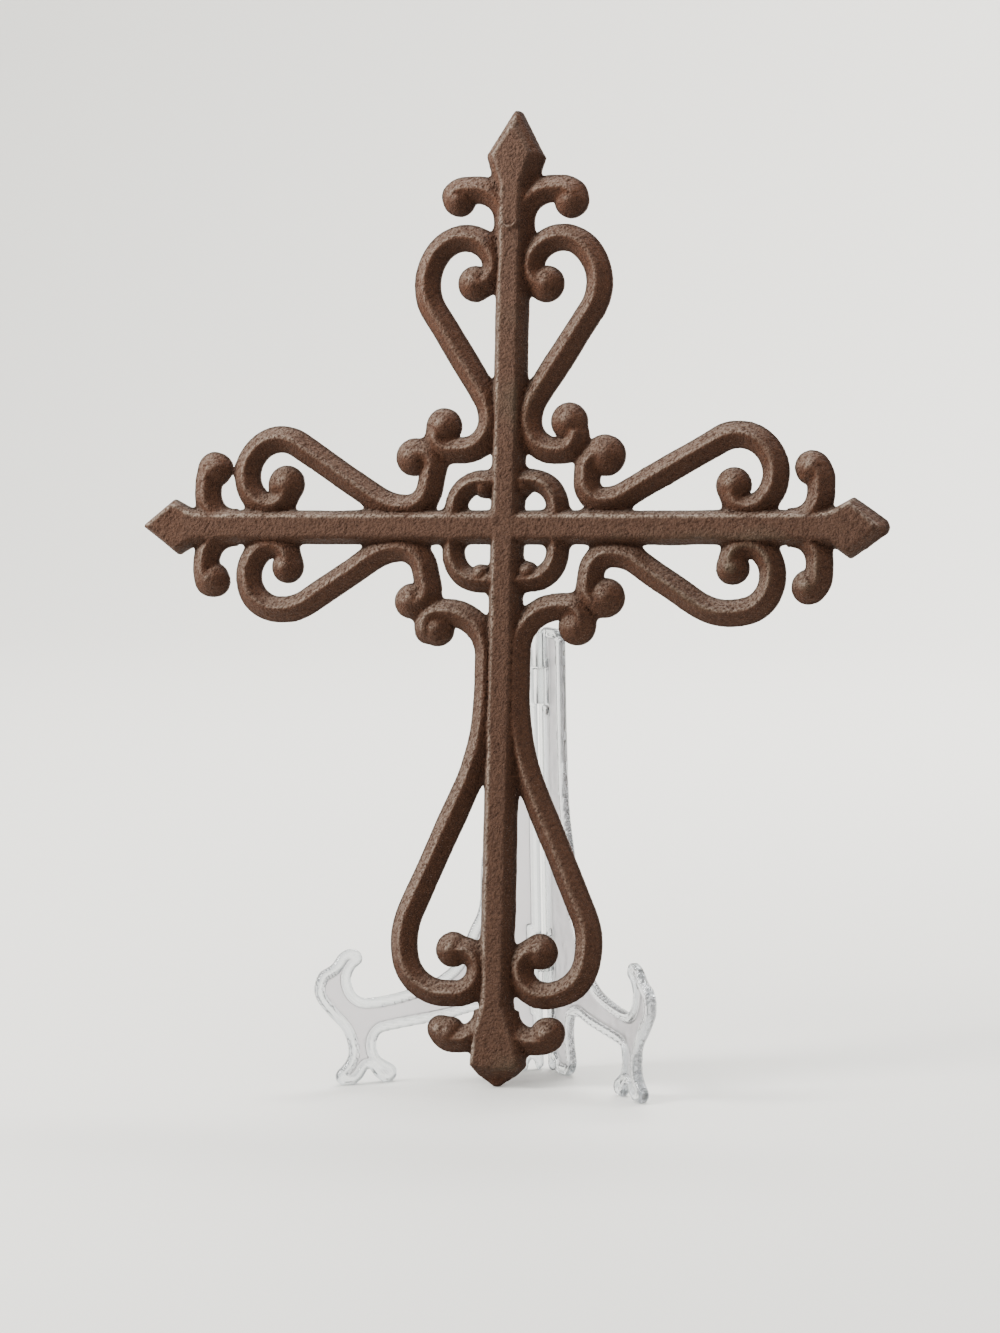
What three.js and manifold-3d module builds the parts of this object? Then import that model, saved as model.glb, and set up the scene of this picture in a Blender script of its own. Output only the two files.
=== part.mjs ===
// Cast iron scrollwork cross standing on a folding easel of clear plastic.
// Millimetres, +Z up, the cross faces -Y. The origin is the bottom centre of the bounding box.
import * as THREE from 'three';
import { mergeVertices } from 'three/addons/utils/BufferGeometryUtils.js';
import Module from 'manifold-3d';

const wasm = await Module();
wasm.setup();

// Cross. Along an arm, t runs outwards from the crossing and n sideways. Up is away from the back.
const CROSS_HEIGHT = 330;
const CROSSING_HEIGHT = 188.3;
const ARM_REACH = 132;
const LEAN = THREE.MathUtils.degToRad(8);
const BAR_BASE = 11.3;
const BAR_WALL = 1.6;
const UPRIGHT_FACE = 6.4;
const CROSSBAR_FACE = 7.8;
const BAR_RELIEF = 7;
const CROSSBAR_RELIEF = 6.6;
const SCROLL_WIDTH = 9;
const SPRING_WIDTH = 8.6;
const RING_WIDTH = 7.2;
const RIDGE_WIDTH = 3;
const RIDGE_RELIEF = 5;
const BULB_RELIEF = 6;
const BULB_SIDES = 12;
const RING_BULB_RADIUS = 3.6;
const RING_CORNER = 9.8;
const BOTTOM_BULB_HEIGHT = 45.5;
const BOTTOM_SPRING_HEIGHT = 25.5;
const SHIELD_HEIGHT = 28.3;
const TIP_WALL = 2.1;
const CURL_STEP = 24;

// Easel. A side is drawn as s, outwards from the hinge line, and z, up.
const EASEL_HEIGHT = 152.4;
const EASEL_HALF_OPENING = THREE.MathUtils.degToRad(47.3);
const EASEL_TURN = THREE.MathUtils.degToRad(6);
const HINGE_X = 8;
const HINGE_Y = 35.8;
const HINGE_EDGE = 2;
const UPRIGHT_WIDTH = 17.3;
const SIDE_THICKNESS = 3.2;
const WEB_THICKNESS = 1.4;
const RIM_WIDTH = 3;
const KNUCKLE_RADIUS = 3.4;
const KNUCKLE_LENGTH = 12;
const LOWER_KNUCKLE = 22;
const UPPER_KNUCKLE_DEPTH = 26.4;
const KNUCKLE_GAP = 0.5;
const PIN_RADIUS = 1.2;
const PIN_OVERHANG = 0.8;
const PIN_CLEARANCE = 0.3;
const KNUCKLE_CLEARANCE = 0.3;

const iron = new THREE.MeshStandardMaterial({ color: 0x5b3d2f, roughness: 0.85, metalness: 0.3 });
const clearPlastic = new THREE.MeshStandardMaterial({
  color: 0xe9ecec, roughness: 0.15, metalness: 0, transparent: true, opacity: 0.35,
});

const toRadians = THREE.MathUtils.degToRad;

function toManifold(geometry) {
  const bare = geometry.clone();
  bare.deleteAttribute('normal');
  bare.deleteAttribute('uv');
  const merged = mergeVertices(bare, 1e-5);
  return new wasm.Manifold(new wasm.Mesh({
    numProp: 3,
    vertProperties: new Float32Array(merged.attributes.position.array),
    triVerts: new Uint32Array(merged.index.array),
  }));
}

function toGeometry(solid) {
  const mesh = solid.getMesh();
  const geometry = new THREE.BufferGeometry();
  geometry.setAttribute('position', new THREE.BufferAttribute(mesh.vertProperties, 3));
  geometry.setIndex(new THREE.BufferAttribute(mesh.triVerts, 1));
  return geometry;
}

function unite(solids) {
  return solids.reduce((whole, solid) => whole.add(solid));
}

// Solid between matching rings of points. The first and last ring are convex and flat.
function lofted(rings) {
  const count = rings[0].length;
  const last = (rings.length - 1) * count;
  const triangles = [];
  for (let k = 0; k < last; k += count) {
    for (let i = 0; i < count; i += 1) {
      const j = (i + 1) % count;
      triangles.push(k + i, k + j, k + count + j);
      triangles.push(k + i, k + count + j, k + count + i);
    }
  }
  for (let i = 1; i + 1 < count; i += 1) {
    triangles.push(0, i + 1, i);
    triangles.push(last, last + i, last + i + 1);
  }
  const geometry = new THREE.BufferGeometry();
  geometry.setAttribute('position', new THREE.Float32BufferAttribute(rings.flat(2), 3));
  geometry.setIndex(triangles);
  return toManifold(geometry);
}

// Centre line of a scroll in (t, n): arcs and straights, each tangent to the one before.
class ScrollLine {
  constructor(t, n, heading) {
    this.t = t;
    this.n = n;
    this.heading = toRadians(heading);
    this.points = [{ t, n, heading: this.heading }];
  }

  moveTo(t, n) {
    this.t = t;
    this.n = n;
    this.points.push({ t, n, heading: this.heading });
  }

  left(radius, sweep) {
    const centreT = this.t - radius * Math.sin(this.heading);
    const centreN = this.n + radius * Math.cos(this.heading);
    const steps = Math.ceil(Math.abs(sweep) / CURL_STEP);
    for (let i = 0; i < steps; i += 1) {
      this.heading += toRadians(sweep / steps);
      this.moveTo(centreT + radius * Math.sin(this.heading), centreN - radius * Math.cos(this.heading));
    }
    return this;
  }

  right(radius, sweep) {
    return this.left(-radius, -sweep);
  }

  straight(length) {
    this.moveTo(this.t + length * Math.cos(this.heading), this.n + length * Math.sin(this.heading));
    return this;
  }

  // The bulb that closes the line, moved ahead of its end and aside to the left.
  endBulb(radius, ahead, aside) {
    return {
      t: this.t + ahead * Math.cos(this.heading) - aside * Math.sin(this.heading),
      n: this.n + ahead * Math.sin(this.heading) + aside * Math.cos(this.heading),
      radius,
    };
  }
}

function sweptScroll(line, width) {
  const half = width / 2;
  const ridge = RIDGE_WIDTH / 2;
  const section = [[-half, 0], [half, 0], [ridge, RIDGE_RELIEF], [-ridge, RIDGE_RELIEF]];
  return lofted(line.points.map(({ t, n, heading }) => section.map(([across, up]) => [
    n - across * Math.cos(heading), t + across * Math.sin(heading), up,
  ])));
}

// Domed bulb on which a scroll begins or ends.
function bulb({ t, n, radius }) {
  const profile = [
    new THREE.Vector2(0, 0),
    new THREE.Vector2(radius, 0),
    new THREE.Vector2(radius * 0.96, BULB_RELIEF * 0.3),
    new THREE.Vector2(radius * 0.62, BULB_RELIEF * 0.82),
    new THREE.Vector2(0, BULB_RELIEF),
  ];
  const dome = new THREE.LatheGeometry(profile, BULB_SIDES);
  dome.rotateX(Math.PI / 2);
  dome.translate(n, t, 0);
  return toManifold(dome);
}

// Half a heart, from the bulb inside it round the lobe to the corner curl beside the crossing.
const heart = (line, innerRadius, endRadius, ahead, aside) => ({
  line,
  width: SCROLL_WIDTH,
  bulbs: [
    { t: line.points[0].t, n: line.points[0].n, radius: innerRadius },
    line.endBulb(endRadius, ahead, aside),
  ],
});
const spring = (line, radius, ahead, aside) => ({
  line, width: SPRING_WIDTH, bulbs: [line.endBulb(radius, ahead, aside)],
});
const ringQuarter = (halfWidth, reach, end) => ({
  line: new ScrollLine(0, halfWidth, 0).straight(reach - RING_CORNER).right(RING_CORNER, 90)
    .straight(halfWidth - RING_CORNER),
  width: RING_WIDTH,
  bulbs: [end],
});

const BOTTOM_BULB_T = CROSSING_HEIGHT - BOTTOM_BULB_HEIGHT;
const BOTTOM_RUN = BOTTOM_BULB_T - 98.4;

const topHeart = (line, run, rest) => line.left(5.7, 100).left(11, 118).left(17, 85).straight(run)
  .right(16, 33).right(10, 90).straight(rest).right(4.8, 100);
const bottomHeart = (line, run, rest) => line.left(5.9, 95).left(9, 85).left(14.5, 80).left(28, 34)
  .straight(BOTTOM_RUN).right(80, 24).straight(run).right(15, 90).straight(rest).right(4.8, 110);
const topSpring = (rest) => new ScrollLine(100, 2, 0).straight(3).left(11.6, 90).straight(rest).left(4.8, 50);
const sideSpring = (start, rest) => new ScrollLine(start, 1, 0).left(11, 90).straight(rest).left(4.8, 80);
const bottomSpring = () => new ScrollLine(CROSSING_HEIGHT - BOTTOM_SPRING_HEIGHT, 3, 0)
  .left(10, 90).straight(2).left(4.8, 70);

const ringBulb = (t, n) => ({ t, n, radius: RING_BULB_RADIUS });

const topRight = [
  heart(topHeart(new ScrollLine(82.5, 12, -90), 34, 2), 5.9, 6.2, 4.5, -1.6),
  spring(topSpring(3.5), 6.4, -0.8, 2),
  ringQuarter(17.5, 16, ringBulb(14, 5.5)),
];
const topLeft = [
  heart(topHeart(new ScrollLine(82.2, 14.2, -90).straight(1.6), 34.5, 4), 6, 6.3, 2.9, -1.6),
  spring(topSpring(4.5), 6.5, -0.8, 2),
  ringQuarter(18.5, 16, ringBulb(13.7, 8.3)),
];
const bottomRight = [
  heart(bottomHeart(new ScrollLine(BOTTOM_BULB_T, 14.9, -90).straight(1), 14.4, 3), 5.9, 6.2, 0.8, -1.5),
  spring(bottomSpring(), 5.9, -1.3, 1),
  ringQuarter(17.5, 17.4, ringBulb(15, 7.6)),
];
const bottomLeft = [
  heart(bottomHeart(new ScrollLine(BOTTOM_BULB_T, 15.8, -90).straight(0.3), 12.5, 2), 6.1, 5.9, 0.6, -3.4),
  spring(bottomSpring(), 5.9, -2.1, 2.3),
  ringQuarter(18.5, 17.4, ringBulb(16, 9)),
];
const rightUpper = [
  heart(
    new ScrollLine(78.7, 14.5, -112).left(5.3, 97).left(7.5, 60).left(13, 164.5).straight(37.8)
      .right(14, 29.5).right(6.5, 90).straight(3.3).right(5.5, 110),
    5.9, 6.9, -1, -0.1,
  ),
  spring(sideSpring(97, 4), 5.9, -1.2, 0.7),
];
const rightLower = [
  heart(
    new ScrollLine(78.6, 13.6, -112).left(5.3, 97).left(7, 60).left(11.5, 120).left(22, 48.5)
      .straight(25.5).right(16, 33.5).right(7, 83).straight(5).right(4.8, 110),
    5.7, 6.5, -0.3, -1.6,
  ),
  spring(sideSpring(97, 4), 5.7, -0.8, 1),
];
const leftUpper = [
  heart(
    new ScrollLine(79.8, 14.8, -112).left(5.3, 97).left(7.5, 60).left(12, 169).straight(34.9)
      .right(20, 34).right(8.5, 80).straight(6).right(5, 115),
    6.2, 6.6, 2.4, -0.3,
  ),
  spring(sideSpring(97.5, 4), 6.1, -1.8, 0.4),
];
const leftLower = [
  heart(
    new ScrollLine(78.3, 13.6, -112).left(5.3, 97).left(7.5, 60).left(11.5, 130).left(18, 38.5)
      .straight(29.4).right(18, 33.5).right(9, 76).straight(6).right(5, 120),
    5.7, 5.9, 1, -0.8,
  ),
  spring(sideSpring(97.5, 2.5), 6.1, -2, 0.9),
];

// Sets a solid drawn along an arm (n to the right, t up) on the cross.
function onArm(solid, turn, mirrored) {
  const sided = mirrored ? solid.scale([-1, 1, 1]) : solid;
  return sided.rotate([0, 0, turn]).translate([0, CROSSING_HEIGHT, 0]);
}

function scrollwork(scrolls, turn, mirrored) {
  return scrolls.flatMap(({ line, width, bulbs }) => [sweptScroll(line, width), ...bulbs.map(bulb)])
    .map((solid) => onArm(solid, turn, mirrored));
}

// Plate whose edge rises straight, then slopes in to a raised face.
function raisedPlate(outline, face, wall, relief) {
  return lofted([
    outline.map(([n, t]) => [n, t, 0]),
    outline.map(([n, t]) => [n, t, wall]),
    face.map(([n, t]) => [n, t, relief]),
  ]);
}

function bar(faceWidth, from, to, relief) {
  const rectangle = (half) => [[-half, from], [half, from], [half, to], [-half, to]];
  return raisedPlate(rectangle(BAR_BASE / 2), rectangle(faceWidth / 2), BAR_WALL, relief);
}

// Pointed end of an arm: it widens from the bar to the shoulders and runs in to the tip.
function spearhead({ tail, outline, face, relief }) {
  const kite = ({ tailHalf, shoulder, half, tip }) => [
    [-tailHalf, tail], [tailHalf, tail], [half, shoulder], [0.3, tip], [-half, shoulder],
  ];
  return raisedPlate(kite(outline), kite(face), TIP_WALL, relief);
}

function crossSolid() {
  const top = CROSS_HEIGHT - CROSSING_HEIGHT;
  const sideTip = {
    tail: ARM_REACH - 22,
    outline: { tailHalf: BAR_BASE / 2, shoulder: ARM_REACH - 13, half: 10.1, tip: ARM_REACH },
    face: { tailHalf: CROSSBAR_FACE / 2, shoulder: ARM_REACH - 13, half: 8.2, tip: ARM_REACH - 2.6 },
    relief: BAR_RELIEF,
  };
  const topTip = {
    tail: top - 32,
    outline: { tailHalf: 5.4, shoulder: top - 15.8, half: 10.2, tip: top },
    face: { tailHalf: 2.2, shoulder: top - 15, half: 5.9, tip: top - 3.7 },
    relief: BAR_RELIEF + 0.8,
  };
  const shieldTop = CROSSING_HEIGHT - SHIELD_HEIGHT;
  const shieldSide = CROSSING_HEIGHT - 11;
  const shieldEdge = CROSSING_HEIGHT - 7.3;
  const shieldFace = CROSSING_HEIGHT - 6;
  const shield = raisedPlate(
    [
      [-5.6, shieldTop], [5.6, shieldTop], [10.2, shieldSide], [10.4, shieldEdge], [0.8, CROSSING_HEIGHT],
      [-8.5, shieldEdge], [-8.3, shieldSide],
    ],
    [
      [-3.2, shieldTop], [3.2, shieldTop], [7.6, shieldSide], [7.7, shieldFace], [0.8, shieldFace + 0.3],
      [-6, shieldFace], [-5.9, shieldSide],
    ],
    TIP_WALL,
    BAR_RELIEF,
  );
  return unite([
    onArm(bar(UPRIGHT_FACE, 10 - CROSSING_HEIGHT, top - 26, BAR_RELIEF), 0, false),
    onArm(bar(CROSSBAR_FACE, 15 - ARM_REACH, ARM_REACH - 15, CROSSBAR_RELIEF), 90, false),
    onArm(spearhead(topTip), 0, false),
    onArm(spearhead(sideTip), 90, false),
    onArm(spearhead(sideTip), -90, false),
    onArm(shield, 180, true),
    ...scrollwork(topRight, 0, false),
    ...scrollwork(topLeft, 0, true),
    ...scrollwork(rightUpper, -90, true),
    ...scrollwork(rightLower, -90, false),
    ...scrollwork(leftUpper, 90, false),
    ...scrollwork(leftLower, 90, true),
    ...scrollwork(bottomRight, 180, true),
    ...scrollwork(bottomLeft, 180, false),
  ]);
}

// Outline of an easel side: rear foot, underside of the arm, front foot, hook, arm and upright.
function sideOutline() {
  const at = (s, z) => new THREE.Vector2(s, z);
  const shape = new THREE.Shape();
  const crown = UPRIGHT_WIDTH - 5;
  shape.moveTo(8.2, 0);
  shape.lineTo(15.3, 0);
  shape.absarc(15.3, 5.2, 5.2, -Math.PI / 2, 0.1, false);
  shape.splineThru([at(19.3, 11), at(18.9, 15.5), at(20.6, 20.6), at(27, 21.7)]);
  shape.splineThru([at(34.4, 20.3), at(42.8, 19.2), at(56, 17.7)]);
  shape.splineThru([at(60.6, 16.6), at(62.2, 13), at(61, 9), at(57.4, 6.4)]);
  shape.absarc(58.2, 3.2, 3.2, Math.PI * 0.6, Math.PI * 1.5, false);
  shape.lineTo(59.8, 0);
  shape.splineThru([at(62.3, 2), at(64.9, 5), at(67.4, 2)]);
  shape.lineTo(70, 0);
  shape.lineTo(73.6, 0);
  shape.absarc(73.6, 2.8, 2.8, -Math.PI / 2, Math.PI * 0.25, false);
  shape.splineThru([at(72.4, 8.2), at(71.6, 12), at(73.4, 18.2), at(78.4, 24.2), at(82.4, 29.6)]);
  shape.splineThru([at(83.2, 34), at(81.2, 38.6), at(76.6, 41.2)]);
  shape.splineThru([at(74, 44.6), at(70.4, 46.2), at(67.2, 45), at(66.6, 41.8)]);
  shape.splineThru([at(69.4, 39.2), at(70.6, 35.6), at(68.9, 31), at(64.6, 29)]);
  shape.splineThru([at(55, 29.8), at(45, 32), at(38.6, 34.7), at(32.6, 39.6)]);
  shape.splineThru([at(27.6, 49.6), at(23.8, 58), at(22.6, 74), at(18.3, 92)]);
  shape.lineTo(UPRIGHT_WIDTH, 118);
  shape.lineTo(UPRIGHT_WIDTH, EASEL_HEIGHT - 5);
  shape.absarc(crown, EASEL_HEIGHT - 5, 5, 0, Math.PI / 2, false);
  shape.lineTo(HINGE_EDGE + 4, EASEL_HEIGHT);
  shape.absarc(HINGE_EDGE + 3, EASEL_HEIGHT - 3, 3, Math.PI / 2, Math.PI, false);
  shape.lineTo(HINGE_EDGE, 1.6);
  shape.lineTo(3.4, 0);
  shape.lineTo(4.2, 0);
  shape.splineThru([at(5.2, 3), at(6.4, 3.6), at(7.4, 2.6)]);
  return shape.getPoints(2).filter((point, i, all) => point.distanceTo(all.at(i - 1)) > 0.3);
}

function segmentDistance(point, from, to) {
  const along = to.clone().sub(from);
  const fraction = THREE.MathUtils.clamp(point.clone().sub(from).dot(along) / along.lengthSq(), 0, 1);
  return point.distanceTo(from.clone().addScaledVector(along, fraction));
}

// The outline moved inwards by a width. Points that come nearer than that to any edge are left out.
function insetOutline(outline, width) {
  const inset = [];
  outline.forEach((from, i) => {
    const to = outline[(i + 1) % outline.length];
    const edge = to.clone().sub(from);
    const inward = new THREE.Vector2(-edge.y, edge.x).normalize();
    for (const fraction of [0.1, 0.9]) {
      const point = from.clone().addScaledVector(edge, fraction).addScaledVector(inward, width);
      const clear = outline.every((start, j) => (
        segmentDistance(point, start, outline[(j + 1) % outline.length]) > width - 0.02
      ));
      if (clear) inset.push(point);
    }
  });
  return inset.filter((point, i, all) => point.distanceTo(all.at(i - 1)) > 1.5);
}

function sidePlate(outline, thickness, offset) {
  const geometry = new THREE.ExtrudeGeometry(new THREE.Shape(outline), {
    depth: thickness, bevelEnabled: false, steps: 1,
  });
  geometry.rotateX(Math.PI / 2);
  geometry.translate(0, offset + thickness / 2, 0);
  return toManifold(geometry);
}

function hingeCylinder(radius, from, to) {
  const geometry = new THREE.CylinderGeometry(radius, radius, to - from, 20);
  geometry.rotateX(Math.PI / 2);
  geometry.translate(0, 0, (from + to) / 2);
  return toManifold(geometry);
}

// One side of the easel, with knuckles of its own and room for those of the other side.
function easelSide(knuckles, otherKnuckles) {
  const outline = sideOutline();
  const recess = (SIDE_THICKNESS - WEB_THICKNESS) / 2;
  const recessOutline = insetOutline(outline, RIM_WIDTH);
  const recessOffset = WEB_THICKNESS / 2 + recess;
  let side = sidePlate(outline, SIDE_THICKNESS, 0);
  side = side.subtract(sidePlate(recessOutline, recess * 2, recessOffset));
  side = side.subtract(sidePlate(recessOutline, recess * 2, -recessOffset));
  for (const foot of otherKnuckles) {
    side = side.subtract(hingeCylinder(
      KNUCKLE_RADIUS + KNUCKLE_CLEARANCE, foot - KNUCKLE_CLEARANCE, foot + KNUCKLE_LENGTH + KNUCKLE_CLEARANCE,
    ));
  }
  for (const foot of knuckles) {
    side = side.add(hingeCylinder(KNUCKLE_RADIUS, foot, foot + KNUCKLE_LENGTH));
  }
  return side.subtract(hingeCylinder(PIN_RADIUS + PIN_CLEARANCE, 0, EASEL_HEIGHT));
}

const group = new THREE.Group();
group.name = 'cross_on_easel';

function addPiece(name, solid, material) {
  const mesh = new THREE.Mesh(toGeometry(solid), material);
  mesh.name = name;
  group.add(mesh);
  return mesh;
}

addPiece('cross', crossSolid(), iron).rotation.x = Math.PI / 2 - LEAN;

const leftKnuckles = [LOWER_KNUCKLE, EASEL_HEIGHT - UPPER_KNUCKLE_DEPTH];
const rightKnuckles = leftKnuckles.map((foot) => foot + KNUCKLE_LENGTH + KNUCKLE_GAP);
const leftSide = addPiece('easel_left_side', easelSide(leftKnuckles, rightKnuckles), clearPlastic);
leftSide.rotation.z = -Math.PI / 2 - EASEL_HALF_OPENING - EASEL_TURN;
const rightSide = addPiece('easel_right_side', easelSide(rightKnuckles, leftKnuckles), clearPlastic);
rightSide.rotation.z = -Math.PI / 2 + EASEL_HALF_OPENING - EASEL_TURN;
const pin = addPiece(
  'easel_hinge_pin',
  hingeCylinder(
    PIN_RADIUS, leftKnuckles[0] - PIN_OVERHANG, rightKnuckles[1] + KNUCKLE_LENGTH + PIN_OVERHANG,
  ),
  clearPlastic,
);
for (const piece of [leftSide, rightSide, pin]) piece.position.set(HINGE_X, HINGE_Y, 0);

const box = new THREE.Box3().setFromObject(group, true);
const centre = box.getCenter(new THREE.Vector3());
for (const piece of group.children) piece.position.sub(new THREE.Vector3(centre.x, centre.y, box.min.z));

export default group;
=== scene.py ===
"""Cast iron scrollwork cross on a clear plastic easel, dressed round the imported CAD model."""
import math

import bpy
import numpy as np
from mathutils import Matrix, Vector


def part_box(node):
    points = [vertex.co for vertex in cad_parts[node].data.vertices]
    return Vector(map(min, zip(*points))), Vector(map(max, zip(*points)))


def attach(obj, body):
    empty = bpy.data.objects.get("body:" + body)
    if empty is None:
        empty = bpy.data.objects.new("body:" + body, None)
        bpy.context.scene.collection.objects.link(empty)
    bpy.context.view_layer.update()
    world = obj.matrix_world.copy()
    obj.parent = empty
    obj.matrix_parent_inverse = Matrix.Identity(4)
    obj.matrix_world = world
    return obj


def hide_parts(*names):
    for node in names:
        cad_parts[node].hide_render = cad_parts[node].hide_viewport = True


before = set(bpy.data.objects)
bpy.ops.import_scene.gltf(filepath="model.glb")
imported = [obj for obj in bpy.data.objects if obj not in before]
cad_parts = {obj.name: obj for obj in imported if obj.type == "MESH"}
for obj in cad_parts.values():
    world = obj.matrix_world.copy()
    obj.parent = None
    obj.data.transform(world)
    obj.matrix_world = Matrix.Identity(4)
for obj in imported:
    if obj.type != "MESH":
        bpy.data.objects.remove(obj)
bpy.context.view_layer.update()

# The cross, in millimetres. u runs to the right, v up along the cross, w out of its flat back.
CROSS_HEIGHT = 330.0
CROSSING_HEIGHT = 188.3
ARM_REACH = 132.0
LEAN = math.radians(8)
CROSS_GRID = 0.7
BAR_HALF = 5.8
UPRIGHT_FACE_HALF = 3.2
CROSSBAR_FACE_HALF = 3.9
BAR_WALL = 1.6
BAR_RELIEF = 6.9
CROSSBAR_RELIEF = 6.5
SCROLL_HALF = 4.55
SPRING_HALF = 4.6
RING_HALF = 3.9
SCROLL_WALL = 1.2
SCROLL_RIDGE = 5.7
RIDGE_ROUNDNESS = 0.12
BULB_WALL = 1.3
BULB_CROWN = 5.3
NUB_HEIGHT = 0.9
NUB_SHARE = 0.38
OUTLINE_FILLET = 2.7
RELIEF_FILLET = 0.6
GRAIN_DEPTH = 0.13
CAST_WAVER = 0.07
EDGE_GRAIN = 0.02
FLASH_DEPTH = 0.05
LOWEST_HEIGHT = 0.9
UPRIGHT_FOOT = 8
SPEARHEAD_ZONE = 36
ARM_TIP_ZONE = 15
BOTTOM_BULB_HEIGHT = 45.5
BOTTOM_SPRING_HEIGHT = 25.5
RING_CORNER = 9.8
RING_BULB = 3.6
NUB_FULL_RADIUS = 5.6

# Wavelengths of the casting's relief in millimetres: the coarsest and the finest of each kind.
WAVER_BAND = (60, 14)
EDGE_BAND = (4, 1.3)
FLASH_BAND = (40, 9)
GRAIN_BAND = (2.6, 0.85)
MOTTLE_BAND = (8, 2.6)

# The easel, in millimetres. On a side, s runs outwards from the hinge line and z up.
EASEL_HEIGHT = 152.4
EASEL_GRID = 0.5
HALF_OPENING = 47.3
EASEL_TURN = 6.0
HINGE_EDGE = 2.0
UPRIGHT_WIDTH = 17.3
RIM_WIDTH = 3.5
RIM_HALF_THICKNESS = 1.55
FOOT_EXTRA = 0.55
WEB_HALF_THICKNESS = 0.7
EDGE_HALF_THICKNESS = 0.5
KNUCKLE_RADIUS = 3.4
KNUCKLE_LENGTH = 12.0
KNUCKLE_PITCH = 12.5
KNUCKLE_CLEARANCE = 0.35
LOWER_KNUCKLE = 22.0
UPPER_KNUCKLE = EASEL_HEIGHT - 26.4
PIN_BORE = 1.5
PIN_RADIUS = 1.18

# Camera of the photograph: place in millimetres from the cross's tip, angles in degrees.
CAMERA_PLACE = (456.4, -1429.9, 280.7)
CAMERA_YAW = 17.54
CAMERA_PITCH = -5.29
CAMERA_ROLL = -1.09
FOCAL_PIXELS = 4519.3
PHOTO_HEIGHT = 1333
SENSOR = 36.0

# Lamps in watts, and the strength of the surround at its horizon and higher up.
WINDOW_POWER = 18
BACK_POWER = 60
HORIZON_STRENGTH = 0.25
UPPER_STRENGTH = 2.1

MM = 0.001
cross_high = np.array(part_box("cross")[1]) / MM
TIP_Y = cross_high[1] - CROSS_HEIGHT * math.sin(LEAN)
pin_low, pin_high = (np.array(corner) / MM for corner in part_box("easel_hinge_pin"))
HINGE_X, HINGE_Y = ((pin_low + pin_high) / 2)[:2]


def smooth_min(a, b, width):
    """The lesser of two fields, rounded off by a parabola where they differ by less than width."""
    blend = np.maximum(width - np.abs(a - b), 0) / width
    return np.minimum(a, b) - blend * blend * width / 4


def smooth_max(a, b, width):
    """The greater of two fields, rounded off in the same way."""
    return -smooth_min(-a, -b, width)


def smooth_step(x, start, end):
    """0 before start and 1 after end, with the cubic 3x^2 - 2x^3 between them."""
    x = np.clip((x - start) / (end - start), 0, 1)
    return x * x * (3 - 2 * x)


class ScrollLine:
    """Centre line of a scroll in (t, n): arcs and straights, each tangent to the one before."""

    def __init__(self, t, n, heading):
        self.start = (t, n)
        self.t = t
        self.n = n
        self.heading = math.radians(heading)
        self.parts = []

    def left(self, radius, sweep):
        sweep = math.radians(sweep)
        centre = (self.t - radius * math.sin(self.heading), self.n + radius * math.cos(self.heading))
        self.parts.append(("arc", centre, radius, self.heading, sweep))
        self.heading += sweep
        self.t = centre[0] + radius * math.sin(self.heading)
        self.n = centre[1] - radius * math.cos(self.heading)
        return self

    def right(self, radius, sweep):
        return self.left(-radius, -sweep)

    def straight(self, length):
        begin = (self.t, self.n)
        self.t += length * math.cos(self.heading)
        self.n += length * math.sin(self.heading)
        self.parts.append(("straight", begin, (self.t, self.n)))
        return self

    def end_bulb(self, radius, ahead, aside):
        """The bulb that closes the line, moved ahead of its end and aside to the left."""
        c, s = math.cos(self.heading), math.sin(self.heading)
        return self.t + ahead * c - aside * s, self.n + ahead * s + aside * c, radius

    def distance(self, t, n):
        """Distance to the nearest part: a straight by projection, an arc by radius where its sweep is."""
        nearest = np.hypot(t - self.t, n - self.n)
        for part in self.parts:
            if part[0] == "straight":
                _, (t0, n0), (t1, n1) = part
                length = math.hypot(t1 - t0, n1 - n0)
                along = ((t - t0) * (t1 - t0) + (n - n0) * (n1 - n0)) / length**2
                along = np.clip(along, 0, 1)
                away = np.hypot(t - t0 - along * (t1 - t0), n - n0 - along * (n1 - n0))
            else:
                _, (ct, cn), radius, heading, sweep = part
                side = math.copysign(1, radius)
                angle = np.arctan2(side * (t - ct), -side * (n - cn))
                turned = np.mod(math.copysign(1, sweep) * (angle - heading) + 0.01, 2 * np.pi)
                away = np.abs(np.hypot(t - ct, n - cn) - abs(radius))
                away = np.where(turned <= abs(sweep) + 0.02, away, 1e3)
            nearest = np.minimum(nearest, away)
        return nearest


def heart(line, inner_radius, *end):
    """Half a heart with the corner curl beside the crossing: its line, half width and bulbs."""
    return line, SCROLL_HALF, [(*line.start, inner_radius), line.end_bulb(*end)]


def spring(line, *end):
    """Small scroll that springs from the bar beyond a heart."""
    return line, SPRING_HALF, [line.end_bulb(*end)]


def ring_quarter(half_width, reach, bulb_t, bulb_n):
    """Quarter of the ring round the crossing, with its small bulb."""
    line = ScrollLine(0, half_width, 0).straight(reach - RING_CORNER).right(RING_CORNER, 90)
    return line.straight(half_width - RING_CORNER), RING_HALF, [(bulb_t, bulb_n, RING_BULB)]


def top_heart(line, run, rest):
    """Half a heart of the top arm, from its inner bulb round the loop and down to the corner curl."""
    line.left(5.7, 100).left(11, 118).left(17, 85).straight(run)
    return line.right(16, 33).right(10, 90).straight(rest).right(4.8, 100)


def bottom_heart(line, curl, turn, flat, run, rest):
    """Half the long heart of the bottom arm, from its inner bulb up to the corner curl."""
    line.left(curl, 95).left(turn, 85).straight(flat).left(14.5, 80).left(28, 34).straight(44.4)
    return line.right(80, 24).straight(run).right(15, 90).straight(rest).right(4.8, 110)


def top_spring(rest):
    """Scroll beside the top spearhead."""
    return ScrollLine(100, 2, 0).straight(3.3).left(11.6, 90).straight(rest).left(4.8, 50)


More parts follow.
